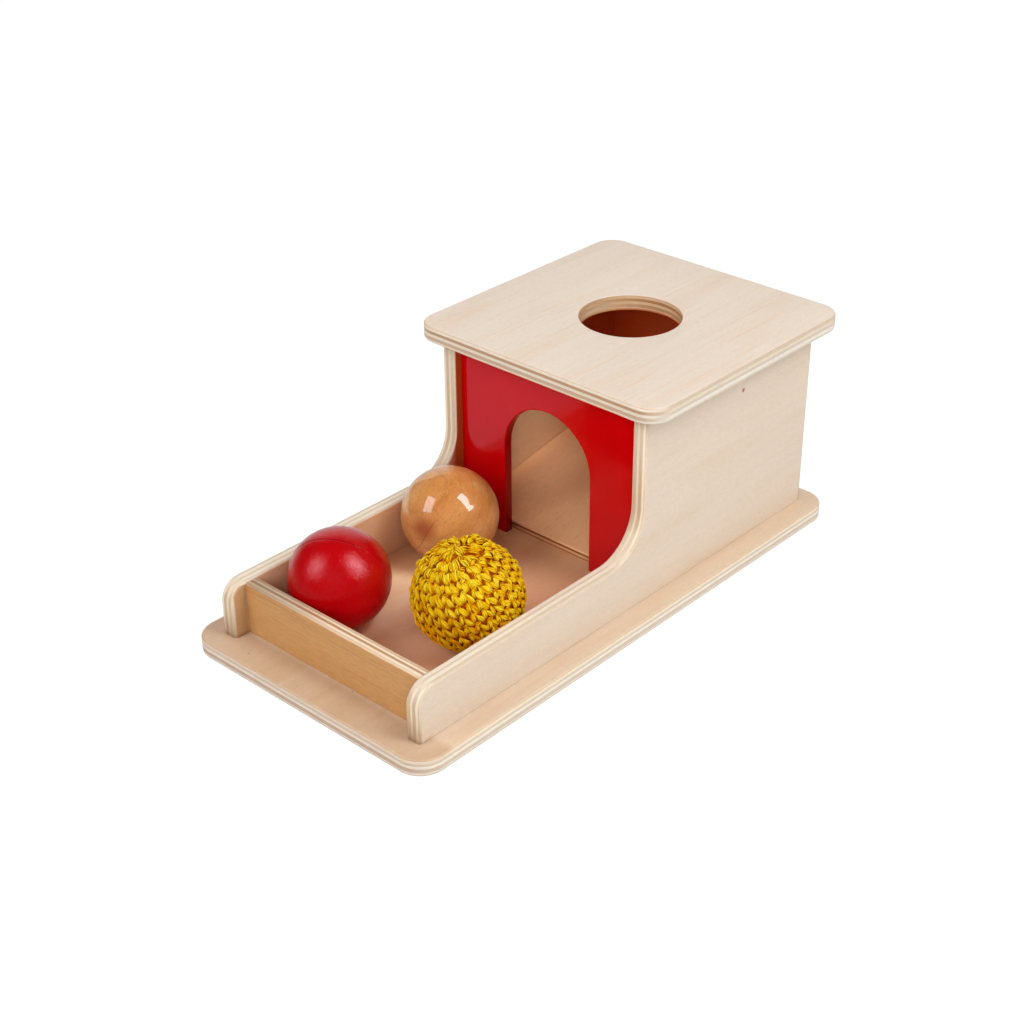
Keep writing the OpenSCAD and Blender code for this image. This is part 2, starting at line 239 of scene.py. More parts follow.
def painted_shade_and_light(add, place, colour):
    """The colour times each painted shade or light tone, as far as the point is in its place."""
    in_box = share_inside(add, place, *INSIDE_PAINTED_SHADE[:3])
    toned = [(in_box, INSIDE_PAINTED_SHADE[3])]
    for low, high, border, tone in DEEP_PAINTED_SHADE + PAINTED_LIGHT_PATCHES:
        inside = share_inside(add, place, low, high, border)
        toned.append((add("Math", {0: in_box, 1: inside}, operation="MULTIPLY"), tone))
    toned += [(share_inside(add, place, *spot[:3]), spot[3]) for spot in OUTSIDE]
    for share, tone in toned:
        colour = add("Mix", {0: share, 6: colour, 7: tone}, data_type="RGBA",
                     blend_type="MULTIPLY").outputs[2]
    return colour


def birch_plywood(name, thick, length, start, thickness, plies, face, streak, line="#E2BE98", slope=0.0,
                  pore=0.93, spots=()):
    """Sanded birch plywood. Faces show soft rotary-cut streaks along the grain and fine pores,
    edges the plies: pale where a ply's fibres run along the edge, brown where they end in it.
    The plies are counted from start along the thick axis, less slope times the place along the length."""
    thick_axis, length_axis = "XYZ".index(thick), "XYZ".index(length)
    material, add = new_material(name)
    coords = add("TexCoord").outputs
    place = add("SeparateXYZ", {0: coords["Object"]})
    facing = add("SeparateXYZ", {0: coords["Normal"]})

    def noise(width_mm, run_mm, detail, roughness=0.5, distortion=0.0, shift=0.0, run_axis=length_axis):
        """Noise in patches run_mm long along the run axis, and width_mm along the other two."""
        scale = [1 / (width_mm * MM)] * 3
        scale[run_axis] = 1 / (run_mm * MM)
        mapped = add("Mapping", {"Vector": coords["Object"], "Location": [shift] * 3, "Scale": scale})
        return add("TexNoise", {"Vector": mapped, "Scale": 1.0, "Detail": detail, "Roughness": roughness,
                                "Distortion": distortion})

    # The plies wander by a tenth of a millimetre, because veneers are never quite even
    wander = add("TexNoise", {"Vector": coords["Object"], "Scale": 1 / PLY_WANDER_RUN, "Detail": 1.0})
    level = add("Math", {0: place.outputs[length_axis], 1: -slope, 2: place.outputs[thick_axis]},
                operation="MULTIPLY_ADD")
    level = add("Math", {0: wander, 1: 2 * PLY_WANDER, 2: level}, operation="MULTIPLY_ADD")
    share = add("MapRange", {"Value": level, "From Min": start + PLY_WANDER,
                             "From Max": start + thickness + PLY_WANDER})
    end_plies, side_plies = (add("ValToRGB", {0: share}, stops=ply_stops(plies, cut)) for cut in (1, 2))
    end_plies.color_ramp.interpolation = side_plies.color_ramp.interpolation = "CONSTANT"
    endness = add("Math", {0: facing.outputs[length_axis]}, operation="ABSOLUTE")
    plies_mixed = add("Mix", {0: endness, 6: side_plies, 7: end_plies}, data_type="RGBA")

    # Fibres and cut pores along the plies, about 0.25 mm high and 4 mm long
    fibres = noise(4, 0.25, 2.0, run_axis=thick_axis)
    fibre_tone = add("MapRange", {"Value": fibres, "From Min": 0.25, "From Max": 0.75, "To Min": 0.86,
                                  "To Max": 1.08})
    edge_colour = add("VectorMath", {0: plies_mixed.outputs[2], "Scale": fibre_tone}, operation="SCALE")

    # Rotary-cut face: soft streaks 15 mm wide and 110 mm long, a finer set, and pores 3.5 mm long
    streaks = add("MapRange", {"Value": noise(15, 110, 3.0, 0.55, 0.6, 3.7), "From Min": 0.5,
                               "From Max": 0.8})
    streaked = add("Mix", {0: streaks, 6: face, 7: streak}, data_type="RGBA")
    narrow = add("MapRange", {"Value": noise(3.2, 70, 2.0, 0.6, 0.3), "From Min": 0.3, "From Max": 0.7,
                              "To Min": 0.98, "To Max": 1.015})
    pores = noise(0.45, 3.5, 2.0)
    pore_tone = add("MapRange", {"Value": pores, "From Min": 0.3, "From Max": 0.7, "To Min": pore,
                                 "To Max": 1.03})
    tone = add("Math", {0: narrow, 1: pore_tone}, operation="MULTIPLY")
    # A few thin amber lines run with the grain
    lines = add("MapRange", {"Value": noise(1.3, 75, 2.0, 0.5, 0.2, 8.1), "From Min": 0.6,
                             "From Max": 0.72, "To Max": 0.45})
    lined = add("Mix", {0: lines, 6: streaked.outputs[2], 7: line}, data_type="RGBA")
    face_colour = add("VectorMath", {0: lined.outputs[2], "Scale": tone}, operation="SCALE")

    # The face veneer is thin, so the face's own colour ends just below the arris
    above = add("Math", {0: share, 1: 1 - FACE_VENEER_T / thickness}, operation="GREATER_THAN")
    below = add("Math", {0: share, 1: FACE_VENEER_T / thickness}, operation="LESS_THAN")
    on_face = add("Math", {0: above, 1: below}, operation="MAXIMUM")
    colour = add("Mix", {0: on_face, 6: edge_colour, 7: face_colour}, data_type="RGBA").outputs[2]
    # Painted shade and painted light in and around the tray and the box
    colour = painted_shade_and_light(add, place, colour)

    # Pin knots and specks: small round marks, dark in the middle
    for spot, spot_r, spot_colour in spots:
        away = add("VectorMath", {0: coords["Object"], 1: spot}, operation="DISTANCE")
        in_spot = add("MapRange", {"Value": away.outputs["Value"], "From Min": spot_r,
                                   "From Max": spot_r * 0.3})
        colour = add("Mix", {0: in_spot, 6: colour, 7: spot_colour}, data_type="RGBA").outputs[2]

    relief = add("Mix", {0: on_face, 2: fibres, 3: pores}, data_type="FLOAT")
    bump = add("Bump", {"Strength": 0.35, "Distance": 0.05 * MM, "Height": relief})
    shader = add("BsdfPrincipled", {"Base Color": colour, "Roughness": 0.4, "Specular IOR Level": 0.75,
                                    "Normal": bump})
    add("OutputMaterial", {0: shader})
    return material


def finish(piece, material, body, node):
    """Gives the piece its material and its body, and lets it stand for its CAD node."""
    piece.data.materials.append(material)
    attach(piece, body)
    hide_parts(node)


def corners(node):
    """Low and high corner of a CAD node's box."""
    return [np.array(corner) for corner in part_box(node)]


def round_rectangle(low, high, r):
    """Outline of a rectangle with four quarter-round corners, counter-clockwise."""
    return np.concatenate([
        arc((low[0] + r, low[1] + r), r, 180, 270),
        arc((high[0] - r, low[1] + r), r, 270, 360),
        arc((high[0] - r, high[1] - r), r, 0, 90),
        arc((low[0] + r, high[1] - r), r, 90, 180),
    ])


base_low, base_high = corners("base_board")
base_t = base_high[2] - base_low[2]
base_piece = board("base_plywood", round_rectangle(base_low, base_high, BASE_CORNER_R), OPEN_ARRIS_R,
                   base_t, base_low[2] * Z, X, Y)
base_material = birch_plywood("sanded birch plywood, warm sheet", "Z", "Y", base_low[2], base_t,
                              BASE_PLIES, "#E2C8AD", "#DABA98", spots=BASE_SPECKS)
finish(base_piece, base_material, "box", "base_board")


# Side panels. Two mirrored birch plywood boards, sawn as one low tray side that sweeps up
# through a hollow curve into the tall side of the box, glued and dowelled on the base.
NOSE_R = 10 * MM
THROAT_R = 23 * MM
TALL_FRONT_Y = 8.5 * MM
TRAY_TOP_Z = 35.5 * MM
PANEL_PLIES = [
    (0.35, "#F5E1C4", "#DECFB9"),
    (0.75, "#EBD4B5", "#D9C7AE"),
    (1.75, "#DBBC9D", "#EEE0CC"),
    (1.25, "#F3DEBF", "#DBC7AD"),
    (1.9, "#D4B696", "#F0E4D0"),
    (1.2, "#FBE8CC", "#D9C5AB"),
    (0.45, "#E1BF95", "#DDC5A6"),
    (0.35, "#F5E1C4", "#DECFB9"),
]
PIN_KNOT = ((63.5 * MM, 82 * MM, 92.4 * MM), 1.5 * MM, "#9C4324")

panel_low, panel_high = corners("side_panel_right")
y0, y1, z0, z1 = panel_low[1], panel_high[1], panel_low[2], panel_high[2]
panel_t = panel_high[0] - panel_low[0]
panel_outline = np.concatenate([
    [(y0, z0), (y1, z0), (y1, z1), (TALL_FRONT_Y, z1)],
    arc((TALL_FRONT_Y - THROAT_R, TRAY_TOP_Z + THROAT_R), THROAT_R, 0, -90),
    arc((y0 + NOSE_R, TRAY_TOP_Z - NOSE_R), NOSE_R, 90, 180),
])
panel_arris = np.full(len(panel_outline), OPEN_ARRIS_R)
panel_arris[[0, 2]] = GLUED_ARRIS_R
for hand, plies, knots in (("right", PANEL_PLIES, [PIN_KNOT]), ("left", PANEL_PLIES[::-1], [])):
    node = "side_panel_" + hand
    low_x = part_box(node)[0][0]
    panel_piece = board(node + "_plywood", panel_outline, panel_arris, panel_t, low_x * X, Y, Z)
    panel_material = birch_plywood("sanded birch plywood, " + hand + " panel", "X", "Y", low_x, panel_t,
                                   plies, "#E2CEB9", "#DFC6A9", line="#E1C6A5", spots=knots)
    finish(panel_piece, panel_material, "box", node)


# Rail, back wall, ramp and bearer. The rail closes the tray, the back wall closes the box, and
# the thin ramp board leans on the bearer strip so that a dropped ball rolls out of the doorway.
RAIL_PLIES = [
    (0.3, "#E3AA6E", "#E3AA6E"),
    (0.8, "#D8B794", "#E0C4A8"),
    (0.5, "#CFAD88", "#D6B897"),
    (1.4, "#E6CBA6", "#F0D9BF"),
    (1.4, "#B98A5E", "#BE8B60"),
    (1.1, "#EAD4B2", "#F2DEC6"),
    (1.0, "#CDA880", "#D2B090"),
    (1.1, "#DDBF98", "#E0C2A2"),
]
# The ramp's first ply is near black-brown: a painted shadow of the gap under the ramp's front edge
RAMP_PLIES = [
    (0.7, "#6E3F20", "#6E3F20"),
    (1.8, "#F6DCB4", "#F6DCB4"),
    (1.3, "#9A683C", "#9A683C"),
    (1.2, "#FFE9C6", "#FFE9C6"),
]
RAIL_ARRIS_R = 1.0 * MM
RAMP_T = 5 * MM
# Points of the ramp that are this close in height, or along it, count as one edge
EDGE_MATCH = 0.01 * MM


def rectangle(low, high):
    """Outline of a plain rectangle, counter-clockwise."""
    return np.array([(low[0], low[1]), (high[0], low[1]), (high[0], high[1]), (low[0], high[1])])


def upright_board(node, top_r, plies, face, streak, **look):
    """A plywood board that stands across the box between the side panels."""
    low, high = corners(node)
    outline = rectangle(low[[0, 2]], high[[0, 2]])
    arris = [GLUED_ARRIS_R, GLUED_ARRIS_R, top_r, GLUED_ARRIS_R]
    piece = board(node + "_plywood", outline, arris, high[1] - low[1], high[1] * Y, X, Z)
    material = birch_plywood("birch plywood, " + node.replace("_", " "), "Y", "X", low[1],
                             high[1] - low[1], plies, face, streak, **look)
    finish(piece, material, "box", node)


upright_board("tray_rail", RAIL_ARRIS_R, RAIL_PLIES, "#D29A5E", "#C88A4F", line="#B8763C", pore=0.84)
upright_board("back_wall", GLUED_ARRIS_R, PANEL_PLIES, "#E9D7C2", "#E4CAAE")

ramp_points = np.array([vertex.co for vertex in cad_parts["ramp_board"].data.vertices])
ramp_low, ramp_high = ramp_points.min(0), ramp_points.max(0)
ramp_foot_y = ramp_points[ramp_points[:, 2] < ramp_low[2] + EDGE_MATCH][:, 1].mean()
ramp_rise = ramp_points[ramp_points[:, 1] > ramp_high[1] - EDGE_MATCH][:, 2].mean() - ramp_low[2]
ramp_along = np.array([0.0, ramp_high[1] - ramp_foot_y, ramp_rise])
ramp_length = np.linalg.norm(ramp_along)
ramp_piece = board("ramp_plywood", rectangle((ramp_low[0], 0.0), (ramp_high[0], ramp_length)),
                   GLUED_ARRIS_R, RAMP_T, np.array([0.0, ramp_foot_y, ramp_low[2]]), X,
                   ramp_along / ramp_length)
ramp_slope = ramp_along[2] / ramp_along[1]
# The ramp's face is painted paler than the other boards' birch, as painted light in the closed box
ramp_material = birch_plywood("birch plywood, ramp", "Z", "Y", ramp_low[2] - ramp_slope * ramp_foot_y,
                              RAMP_T * math.hypot(1, ramp_slope), RAMP_PLIES, "#FFDFBC", "#F8D4AE",
                              slope=ramp_slope)
finish(ramp_piece, ramp_material, "box", "ramp_board")


# Front wall. A thin board with an arched doorway, sanded, primed and sprayed with red gloss
# enamel, then slid into the grooves of the side panels.
ARCH_R = 27 * MM
ARCH_SPRING_Z = 58 * MM
ARCH_ARRIS_R = 0.6 * MM

wall_low, wall_high = corners("front_wall")
wall_outline = np.concatenate([
    [(wall_high[0], wall_low[2]), (wall_high[0], wall_high[2]), (wall_low[0], wall_high[2]),
     (wall_low[0], wall_low[2]), (-ARCH_R, wall_low[2])],
    arc((0.0, ARCH_SPRING_Z), ARCH_R, 180, 0, 2 * CORNER_STEPS),
    [(ARCH_R, wall_low[2])],
])
wall_arris = np.full(len(wall_outline), ARCH_ARRIS_R)
wall_arris[[0, 1, 2, 3, -1]] = GLUED_ARRIS_R
wall_t = wall_high[1] - wall_low[1]
wall_piece = board("red_wall", wall_outline, wall_arris, wall_t, wall_high[1] * Y, X, Z)

wall_material, add = new_material("red gloss enamel on board")
coords = add("TexCoord").outputs
# Sprayed enamel keeps a faint orange peel, 1.6 mm from crest to crest, over waves of 14 mm
peel = add("TexNoise", {"Vector": coords["Object"], "Scale": 1 / (1.6 * MM), "Detail": 2.0})
waves = add("TexNoise", {"Vector": coords["Object"], "Scale": 1 / (14 * MM), "Detail": 1.0})
waves_bump = add("Bump", {"Strength": 0.35, "Distance": 0.25 * MM, "Height": waves})
peel_bump = add("Bump", {"Strength": 0.25, "Distance": 0.02 * MM, "Height": peel, "Normal": waves_bump})
tone = add("MapRange", {"Value": waves, "From Min": 0.3, "From Max": 0.7})
red = add("Mix", {0: tone, 6: "#C50206", 7: "#CB0307"}, data_type="RGBA")
# On the sawn edge of the doorway the red is painted darker, as painted shade, and the enamel
# shines less than on the faces
facing = add("SeparateXYZ", {0: coords["Normal"]})
sawn = add("Math", {0: facing.outputs[1]}, operation="ABSOLUTE")
red = add("Mix", {0: sawn, 6: "#A80104", 7: red.outputs[2]}, data_type="RGBA")
shine = add("MapRange", {"Value": sawn, "To Min": 0.08, "To Max": 0.31})
shader = add("BsdfPrincipled", {"Base Color": red.outputs[2], "Roughness": 0.1,
                                "Specular IOR Level": shine, "Specular Tint": "#FFD2F0",
                                "Normal": peel_bump})
add("OutputMaterial", {0: shader})
finish(wall_piece, wall_material, "box", "front_wall")


# Roof board. Birch plywood with round corners, glued down last, with the round hole that the
# balls are dropped through. The hole is bored and both its rims are eased.
ROOF_CORNER_R = 12 * MM
HOLE_R = 25.25 * MM
HOLE_ARRIS_R = 0.5 * MM
ROOF_PLIES = [
    (0.35, "#EDDEC9", "#DFD2C0"),
    (1.3, "#F0E3D0", "#E0D1BB"),
    (1.7, "#CFB193", "#EDE3D4"),
    (1.45, "#EDE0CC", "#D5C2AE"),
    (1.5, "#C29A73", "#E4D3BA"),
    (1.2, "#F1E3D0", "#D3BDA4"),
    (0.7, "#DEBD98", "#D3BA9F"),
]
STRAIGHT_STEP = 3 * MM

roof_low, roof_high = corners("roof_board")
roof_centre = (roof_low + roof_high) / 2
roof_t = roof_high[2] - roof_low[2]


def filled_in(outline, step):
    """The same outline with points added along its straight runs, no more than a step apart."""
    stretches = []
    for start, end in zip(outline, np.roll(outline, -1, 0)):
        count = max(1, math.ceil(np.linalg.norm(end - start) / step))
        stretches.append(start + (end - start) * np.arange(count)[:, None] / count)
    return np.concatenate(stretches)


roof_outline = filled_in(round_rectangle(roof_low, roof_high, ROOF_CORNER_R), STRAIGHT_STEP)
edge_share, edge_height = edge_profile(roof_t, OPEN_ARRIS_R)
outer = roof_outline - outward_moves(roof_outline, OPEN_ARRIS_R) * edge_share[..., None]
spoke = roof_outline - roof_centre[:2]
spoke /= np.linalg.norm(spoke, axis=1, keepdims=True)
rim_share, rim_height = edge_profile(roof_t, HOLE_ARRIS_R)
inner = roof_centre[:2] + spoke * (HOLE_R + HOLE_ARRIS_R * rim_share[::-1, :, None])
section_xy = np.concatenate([outer, inner])
section_z = roof_low[2] + np.concatenate([edge_height, rim_height[::-1]])
section_z = np.broadcast_to(section_z[..., None], (*section_xy.shape[:2], 1))
roof_points = np.concatenate([section_xy, section_z], -1)
roof_quads = grid_quads(len(roof_points), len(roof_outline), wrap_rows=True)
roof_piece = new_piece("roof_plywood", roof_points, roof_quads)
roof_material = birch_plywood("sanded birch plywood, roof", "Z", "Y", roof_low[2], roof_t, ROOF_PLIES,
                              "#E8D8C8", "#E4CEB6")
finish(roof_piece, roof_material, "box", "roof_board")


# Bearer and dowels. Beech, planed for the bearer and turned for the dowels, glued in and hidden
# once the box is closed.
def mottled(name, patch_mm, detail, dark, pale, shading):
    """A plain material that goes between two tones in patches of the given size along X, Y and Z."""
    material, add = new_material(name)
    mapped = add("Mapping", {"Vector": add("TexCoord").outputs["Object"],
                             "Scale": [1 / (size * MM) for size in patch_mm]})
    patches = add("TexNoise", {"Vector": mapped, "Scale": 1.0, "Detail": detail})
    colour = add("ValToRGB", {0: patches}, stops=[(0.3, dark), (0.7, pale)])
    add("OutputMaterial", {0: add("BsdfPrincipled", {"Base Color": colour, **shading})})
    return material


# Beech from the plane is dull, with rays 3 mm long
beech_material = mottled("planed beech", (3, 0.6, 0.6), 3.0, "#C9975F", "#E0B98B", {"Roughness": 0.6})
for node in ("ramp_bearer", "base_dowels", "roof_dowels", "back_wall_dowels", "rail_dowels"):
    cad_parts[node].data.materials.clear()
    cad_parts[node].data.materials.append(beech_material)


# Wooden ball. Turned from beech and dipped in clear varnish: fine rays and pores, faint growth
# rings, one darker knot, and a clear coat that mirrors the soft boxes.
def globe(name, centre, radius_at, tilt_to, rings=72, sides=120):
    """A closed ball: for latitude a from pole to pole and longitude b, the point is
    centre + radius_at(a) (cos a cos b, cos a sin b, sin a), turned so that its pole lies along tilt_to."""
    a = np.linspace(-math.pi / 2, math.pi / 2, rings + 1)[1:-1, None]
    b = np.linspace(0, 2 * math.pi, sides, endpoint=False)[None, :]
    r = radius_at(a)
    pole = np.asarray(tilt_to) / np.linalg.norm(tilt_to)
    east = np.cross(pole, X if abs(pole[0]) < 0.9 else Y)
    east /= np.linalg.norm(east)
    north = np.cross(pole, east)
    points = (np.cos(a) * np.cos(b) * r)[..., None] * east + (np.cos(a) * np.sin(b) * r)[..., None] * north
    points = (points + (np.sin(a) * np.ones_like(b) * r)[..., None] * pole + centre).reshape(-1, 3)
    tips = np.array([[-1.0], [1.0]])
    ends = centre + tips * radius_at(tips * math.pi / 2) * pole
    quads = grid_quads(rings - 1, sides).reshape(-1, 4)
    count = len(points)
    last = (rings - 2) * sides
    caps = [(count, (j + 1) % sides, j) for j in range(sides)]
    caps += [(count + 1, last + j, last + (j + 1) % sides) for j in range(sides)]
    return new_piece(name, np.concatenate([points, ends]), quads, caps, smooth_caps=True)


def centre_and_r(node):
    """Centre and radius of a CAD node that is a ball."""
    low, high = corners(node)
    return (low + high) / 2, (high[2] - low[2]) / 2


wood_centre, wood_r = centre_and_r("wooden_ball")
wood_piece = globe("varnished_ball", wood_centre, lambda a: np.full_like(a, wood_r), Z)

# Directions in the wood: along the fibres, across them along the rings, and towards the bark
FIBRES = (0.281, 0.740, 0.611)
ACROSS = (-0.762, -0.216, 0.611)
TO_BARK = (0.584, -0.637, 0.503)
# The ball's middle from the pith of the tree, in those directions
MIDDLE_FROM_PITH = (0.0, 34 * MM, 26 * MM)
RING_GAP = 4.4 * MM
CROSS_LINE_GAP = 7.5 * MM
# At a scale of 1, one band of a wave texture is this many metres wide
WAVE_BAND = 0.314
# The knot's middle, from the middle of the ball
KNOT_AT = (4.9 * MM, -23.1 * MM, 4.3 * MM)
KNOT_REACH = 9 * MM

wood_material, add = new_material("turned beech under clear varnish")
centred = add("VectorMath", {0: add("TexCoord").outputs["Object"], 1: wood_centre}, operation="SUBTRACT")
along, across, depth = (
    add("VectorMath", {0: centred, 1: axis}, operation="DOT_PRODUCT").outputs["Value"]
    for axis in (FIBRES, ACROSS, TO_BARK)
)
in_wood = add("CombineXYZ", {0: along, 1: across, 2: depth})


def wood_noise(scale_mm, detail):
    """Noise in patches of the given size in mm along the fibres, across them and towards the bark."""
    mapped = add("Mapping", {"Vector": in_wood, "Scale": [1 / (size * MM) for size in scale_mm]})
    return add("TexNoise", {"Vector": mapped, "Scale": 1.0, "Detail": detail})


def darker(value, start, end, darkest):
    """A factor that falls from 1 to darkest as the value goes from start to end."""
    return add("MapRange", {"Value": value, "From Min": start, "From Max": end, "To Min": 1.0,
                            "To Max": darkest})


clouds = wood_noise((40, 12, 12), 2.0)
wood_tone = add("ValToRGB", {0: clouds}, stops=[(0.3, "#CA7F3D"), (0.52, "#D99350"), (0.75, "#E7AA6C")])
# Growth rings are cylinders about a pith that lies outside the ball, as thin brown lines
ring_place = add("Mapping", {"Vector": in_wood, "Location": MIDDLE_FROM_PITH})
rings = add("TexWave", {"Vector": ring_place, "Scale": WAVE_BAND / RING_GAP, "Distortion": 1.2,
                        "Detail": 1.0, "Detail Scale": 1.5}, wave_type="RINGS", rings_direction="X")
# Faint cross lines where the turning tool broke the fibres
cross_place = add("Mapping", {"Vector": in_wood, "Rotation": (0.0, 0.0, 0.12)})
cross_lines = add("TexWave", {"Vector": cross_place, "Scale": WAVE_BAND / CROSS_LINE_GAP, "Distortion": 1.6,
                              "Detail": 1.0, "Detail Scale": 1.2})
flecks = wood_noise((2.4, 0.42, 0.42), 2.0)
tone = darker(rings.outputs["Fac"], 0.8, 1.0, 0.91)
for layer in (darker(cross_lines.outputs["Fac"], 0.9, 1.0, 0.96), darker(flecks, 0.5, 0.3, 0.7)):
    tone = add("Math", {0: tone, 1: layer}, operation="MULTIPLY")
toned = add("VectorMath", {0: wood_tone, "Scale": tone}, operation="SCALE")

# One knot: a reddish cloud, and below it the dark line of the ring that it has pushed aside
knot_away = add("VectorMath", {0: centred, 1: KNOT_AT}, operation="DISTANCE")
knot_cloud = add("MapRange", {"Value": knot_away.outputs["Value"], "From Min": KNOT_REACH,
                              "From Max": 1 * MM, "To Max": 0.8}, interpolation_type="SMOOTHSTEP")
clouded = add("Mix", {0: knot_cloud, 6: toned, 7: "#A14F30"}, data_type="RGBA")
bend = add("Math", {0: wood_noise((26, 26, 26), 0.0), 1: 9 * MM, 2: -3.0 * MM}, operation="MULTIPLY_ADD")
off_line = add("Math", {0: across, 1: bend}, operation="SUBTRACT")
off_line = add("Math", {0: off_line}, operation="ABSOLUTE")
line = add("MapRange", {"Value": off_line, "From Min": 0.45 * MM, "From Max": 0.1 * MM, "To Max": 0.45})
near_knot = add("MapRange", {"Value": along, "From Min": -3 * MM, "From Max": -10 * MM})
line = add("Math", {0: line, 1: near_knot}, operation="MULTIPLY")
wood_colour = add("Mix", {0: line, 6: clouded.outputs[2], 7: "#7C3A1E"}, data_type="RGBA")
bump = add("Bump", {"Strength": 0.2, "Distance": 0.03 * MM, "Height": flecks})
ripple = wood_noise((1.2, 0.6, 0.6), 2.0)
coat_bump = add("Bump", {"Strength": 0.25, "Distance": 0.03 * MM, "Height": ripple})
shader = add("BsdfPrincipled", {"Base Color": wood_colour.outputs[2], "Roughness": 0.5,
                                "Specular IOR Level": 0.2, "Normal": bump, "Coat Weight": 1.0,
                                "Coat Roughness": 0.05, "Coat IOR": 1.65, "Coat Normal": coat_bump})
add("OutputMaterial", {0: shader})
finish(wood_piece, wood_material, "wooden_ball", "wooden_ball")


# Red ball. Two moulded vinyl halves welded together: a satin skin with a fine grain, and a
# narrow groove where the halves meet.
SEAM_R = 0.32 * MM
SEAM_DEPTH = 0.12 * MM
SEAM_POLE = (-0.471, 0.858, 0.206)
SEAM_FADE_SIDE = (0.737, 0.676, 0.0)

red_centre, red_r = centre_and_r("red_ball")


def seamed_radius(a):
    """The ball's radius less a bell-shaped groove round latitude 0."""
    return red_r - SEAM_DEPTH * np.exp(-((a * red_r / SEAM_R) ** 2))


red_piece = globe("red_vinyl_ball", red_centre, seamed_radius, SEAM_POLE, rings=420, sides=180)

red_material, add = new_material("satin red vinyl")
at = add("TexCoord").outputs["Object"]
# The mould's blasted skin, half a millimetre from grain to grain
grain = add("TexNoise", {"Vector": at, "Scale": 1 / (0.5 * MM), "Detail": 1.0})
bump = add("Bump", {"Strength": 1.0, "Distance": 0.13 * MM, "Height": grain})
clouds = add("TexNoise", {"Vector": at, "Scale": 1 / (15 * MM), "Detail": 2.0})
red = add("ValToRGB", {0: clouds}, stops=[(0.3, "#AD010A"), (0.7, "#B70108")])
# The bottom of the weld groove is painted darker, as painted shade
centred = add("VectorMath", {0: at, 1: red_centre}, operation="SUBTRACT")
off_seam = add("VectorMath", {0: centred, 1: np.array(SEAM_POLE) / np.linalg.norm(SEAM_POLE)},
               operation="DOT_PRODUCT")
off_seam = add("Math", {0: off_seam.outputs["Value"]}, operation="ABSOLUTE")
in_groove = add("MapRange", {"Value": off_seam, "From Min": 0.42 * MM, "From Max": 0.16 * MM})
# Towards one side of the ball the groove's painted shade and its dullness fade out
to_seam_fade = add("VectorMath", {0: centred, 1: SEAM_FADE_SIDE}, operation="DOT_PRODUCT")
groove_shown = add("MapRange", {"Value": to_seam_fade.outputs["Value"], "From Min": 9 * MM, "From Max": 16 * MM,
                             "To Min": 1.0, "To Max": 0.12})
in_groove = add("Math", {0: in_groove, 1: groove_shown}, operation="MULTIPLY")
grooved = add("Mix", {0: in_groove, 6: red, 7: "#8A0309"}, data_type="RGBA")
# In the light it glitters in spots a little wider than the grain
coarse = add("TexNoise", {"Vector": at, "Scale": 1 / (0.65 * MM), "Detail": 1.0})
sparkle = add("MapRange", {"Value": coarse, "From Min": 0.36, "From Max": 0.64, "To Min": 0.2,
                           "To Max": 0.76})
dulled = add("MapRange", {"Value": in_groove, "To Min": 1.0, "To Max": 0.05})
# Painted sheen: full shine on the top, falling to 6 % of it towards the underside
height = add("SeparateXYZ", {0: centred}).outputs[2]
painted_top_sheen = add("MapRange", {"Value": height, "From Min": -4 * MM, "From Max": 8 * MM, "To Min": 0.06})
shine = add("Math", {0: sparkle, 1: dulled}, operation="MULTIPLY")
shine = add("Math", {0: shine, 1: painted_top_sheen}, operation="MULTIPLY")
shader = add("BsdfPrincipled", {"Base Color": grooved.outputs[2], "Roughness": 0.16, "IOR": 1.68,
                                "Specular IOR Level": shine, "Specular Tint": "#FFC0C4", "Normal": bump})
add("OutputMaterial", {0: shader})
finish(red_piece, red_material, "red_ball", "red_ball")


# Crocheted ball. A stuffed cover of soft cotton yarn worked in rounds of single crochet: six more
# stitches in each round up to thirty, straight rounds, then six fewer down to six, and four that
# draw the hole shut.
STITCHES_PER_ROUND = [6, 12, 18, 24, 30, 30, 30, 30, 30, 30, 30, 24, 18, 12, 6, 4]
CROCHET_POLE = (-0.12, -0.175, 0.98)
FABRIC_T = 1.5 * MM
THREAD_R = 0.4 * MM
THREAD_FLATNESS = 0.65
THREAD_RINGS = 6
THREAD_SIDES = 6

# Each stitch shows a steep leaf, a long slanting one and a small flat one, of fine threads that
# meet in a point. In shares of the stitch's width and of the round's height: foot across and up,
# head across and up; then in mm half its breadth, its bow and how deep it starts, and its threads
LEAVES = (
    (0.04, -0.12, -0.04, 0.84, 0.78, 1.60, 1.75, 4),
    (0.97, -0.28, 0.14, 0.68, 1.02, 1.72, 1.75, 5),
    (0.02, -0.44, 0.74, -0.14, 0.80, 0.80, 1.80, 3),
)
# How far a round starts before the one under it, in stitches, and how high its first foot and the
# middle of its leaves are, in rounds
ROUND_LAG = 0.19
FIRST_FOOT_UP = 0.25
LEAF_MIDDLE_UP = 0.4
# Near the poles a round and a thread's place in it never get narrower than this share of the girth
LEAST_GIRTH = 0.09
LEAST_THREAD_GIRTH = 0.12
# How far leaves and threads stray, as standard deviations, and shares of a leaf's breadth, of a
# thread's radius and of the ramp of its tones
LEAF_STRAY = 0.31 * MM
THREAD_STRAY = 0.13 * MM
BREADTH_STRAY = 0.1
RADIUS_STRAY = 0.08
TONE_STRAY = 0.26
# The last rounds, drawn together by hand, lie less evenly and broader, and the closing one sinks in
UNEVEN_ROUNDS = 6
MORE_UNEVEN = 1.6
BROADER = 0.16
CLOSING_SINKS = 0.5 * MM
# Directions from the ball's middle in which a stitch has been pulled up into a loop, how far it
# stands out, and how wide it is as an angle
LOOSE_LOOPS = ((-0.769, -0.302, 0.564), (-0.256, 0.461, 0.85))
LOOP_PULL = 1.0 * MM
LOOP_ANGLE = 0.1

